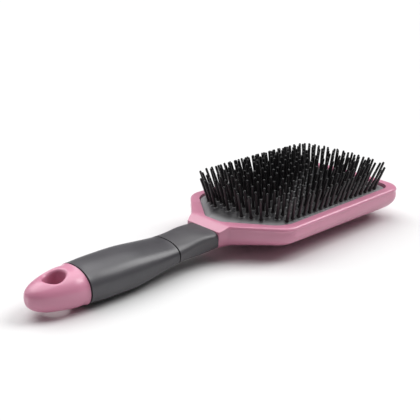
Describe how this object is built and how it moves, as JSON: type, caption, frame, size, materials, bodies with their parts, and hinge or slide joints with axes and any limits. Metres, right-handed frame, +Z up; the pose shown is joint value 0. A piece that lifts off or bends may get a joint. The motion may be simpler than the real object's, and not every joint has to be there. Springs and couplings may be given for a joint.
{
  "type": "paddle hair brush",
  "caption": "Paddle hair brush: rounded rectangular head with a domed rubber cushion of fanned nylon pins, soft grip handle and a tail cap with a hanging hole.",
  "frame": {"origin": "under the middle of the brush, on the plane it lies on with its back down", "axes": "+X from the tail cap to the far end of the paddle, +Z up out of the pin side, +Y across the paddle"},
  "size_m": [0.24, 0.0788, 0.0411],
  "materials": {
    "pink_plastic": "satin gloss",
    "grey_plastic": "satin",
    "soft_grip": "soft touch satin",
    "seam_rubber": "matte",
    "cushion_rubber": "smooth satin",
    "frame_plastic": "matte",
    "pin_nylon": "satin"
  },
  "bodies": {
    "brush": {"paddle_body": "pink_plastic", "tail_cap": "pink_plastic", "neck_collar": "grey_plastic", "grip_sleeve": "soft_grip", "front_spacer_ring": "seam_rubber", "rear_spacer_ring": "seam_rubber", "cushion_carrier": "frame_plastic", "cushion_pad": "cushion_rubber"},
    "pins_01": {"pin_group_01": "pin_nylon"},
    "pins_02": {"pin_group_02": "pin_nylon"},
    "pins_03": {"pin_group_03": "pin_nylon"},
    "pins_04": {"pin_group_04": "pin_nylon"},
    "pins_05": {"pin_group_05": "pin_nylon"},
    "pins_06": {"pin_group_06": "pin_nylon"},
    "pins_07": {"pin_group_07": "pin_nylon"},
    "pins_08": {"pin_group_08": "pin_nylon"},
    "pins_09": {"pin_group_09": "pin_nylon"},
    "pins_10": {"pin_group_10": "pin_nylon"},
    "pins_11": {"pin_group_11": "pin_nylon"},
    "pins_12": {"pin_group_12": "pin_nylon"}
  },
  "joints": [
    {"name": "press_01", "type": "slide", "parent": "brush", "child": "pins_01", "axis": [0, 0, -1], "range_m": [0, 0.000747]},
    {"name": "press_02", "type": "slide", "parent": "brush", "child": "pins_02", "axis": [0, 0, -1], "range_m": [0, 0.000992]},
    {"name": "press_03", "type": "slide", "parent": "brush", "child": "pins_03", "axis": [0, 0, -1], "range_m": [0, 0.00122]},
    {"name": "press_04", "type": "slide", "parent": "brush", "child": "pins_04", "axis": [0, 0, -1], "range_m": [0, 0.00144]},
    {"name": "press_05", "type": "slide", "parent": "brush", "child": "pins_05", "axis": [0, 0, -1], "range_m": [0, 0.00172]},
    {"name": "press_06", "type": "slide", "parent": "brush", "child": "pins_06", "axis": [0, 0, -1], "range_m": [0, 0.00196]},
    {"name": "press_07", "type": "slide", "parent": "brush", "child": "pins_07", "axis": [0, 0, -1], "range_m": [0, 0.00217]},
    {"name": "press_08", "type": "slide", "parent": "brush", "child": "pins_08", "axis": [0, 0, -1], "range_m": [0, 0.00244]},
    {"name": "press_09", "type": "slide", "parent": "brush", "child": "pins_09", "axis": [0, 0, -1], "range_m": [0, 0.00262]},
    {"name": "press_10", "type": "slide", "parent": "brush", "child": "pins_10", "axis": [0, 0, -1], "range_m": [0, 0.00292]},
    {"name": "press_11", "type": "slide", "parent": "brush", "child": "pins_11", "axis": [0, 0, -1], "range_m": [0, 0.0031]},
    {"name": "cushion_press", "type": "slide", "parent": "brush", "child": "pins_12", "axis": [0, 0, -1], "range_m": [0, 0.00336], "stiffness_N_per_m": 400, "springref_m": -0.002, "deforming": ["cushion_pad"]}
  ],
  "couplings": [
    {"joint": "press_01", "follows": "cushion_press", "ratio": 0.21628},
    {"joint": "press_02", "follows": "cushion_press", "ratio": 0.28912},
    {"joint": "press_03", "follows": "cushion_press", "ratio": 0.35742},
    {"joint": "press_04", "follows": "cushion_press", "ratio": 0.42301},
    {"joint": "press_05", "follows": "cushion_press", "ratio": 0.50494},
    {"joint": "press_06", "follows": "cushion_press", "ratio": 0.57814},
    {"joint": "press_07", "follows": "cushion_press", "ratio": 0.6403},
    {"joint": "press_08", "follows": "cushion_press", "ratio": 0.72036},
    {"joint": "press_09", "follows": "cushion_press", "ratio": 0.77213},
    {"joint": "press_10", "follows": "cushion_press", "ratio": 0.86414},
    {"joint": "press_11", "follows": "cushion_press", "ratio": 0.91653}
  ]
}
